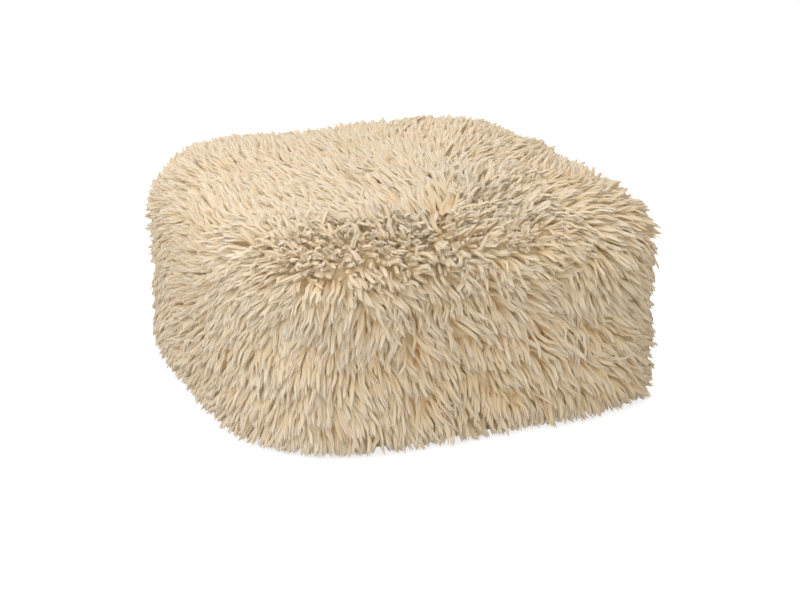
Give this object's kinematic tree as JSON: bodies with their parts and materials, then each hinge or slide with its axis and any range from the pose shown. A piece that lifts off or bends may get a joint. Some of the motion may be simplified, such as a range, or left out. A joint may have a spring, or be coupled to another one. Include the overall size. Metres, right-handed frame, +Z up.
{
  "type": "shaggy pouf",
  "caption": "Square, soft-cornered floor pouf, a stuffed cushion under a long combed wool pile that parts on the top and hangs to the floor.",
  "frame": {"origin": "on the floor, under the middle of the pouf's outline", "axes": "+Z up, and -Y towards the front, the side whose edge the parting on the top lies nearest"},
  "size_m": [0.6, 0.6, 0.3],
  "materials": {
    "cream_wool": "matte, long combed wool locks"
  },
  "bodies": {
    "root": {"shaggy_pouf": "cream_wool"}
  },
  "joints": []
}
